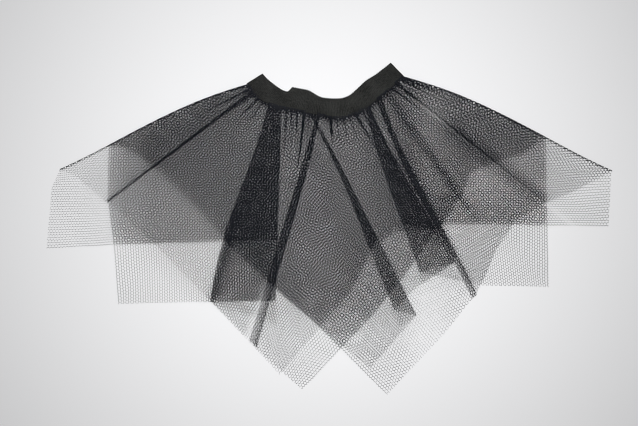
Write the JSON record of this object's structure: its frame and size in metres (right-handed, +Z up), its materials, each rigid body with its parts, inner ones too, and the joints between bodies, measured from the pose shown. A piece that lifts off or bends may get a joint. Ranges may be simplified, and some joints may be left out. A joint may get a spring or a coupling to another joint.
{
  "type": "tulle skirt",
  "caption": "Child's black net skirt with an elastic waistband and a pointed handkerchief hem, laid flat with its front on its back.",
  "frame": {"origin": "on the surface, under the middle of the laid-out skirt", "axes": "+X along the waist to the wearer's left side as the front lies up, +Y from the hem to the waist, +Z up from the surface"},
  "size_m": [0.7632, 0.4496, 0.0208],
  "materials": {
    "elastic": "ribbed woven elastic, matt",
    "net_outer": "open hexagonal net, slight sheen",
    "net_inner": "open hexagonal net, slight sheen"
  },
  "bodies": {
    "root": {"waistband": "elastic", "net_piece_outer": "net_outer", "net_piece_inner": "net_inner"}
  },
  "joints": []
}
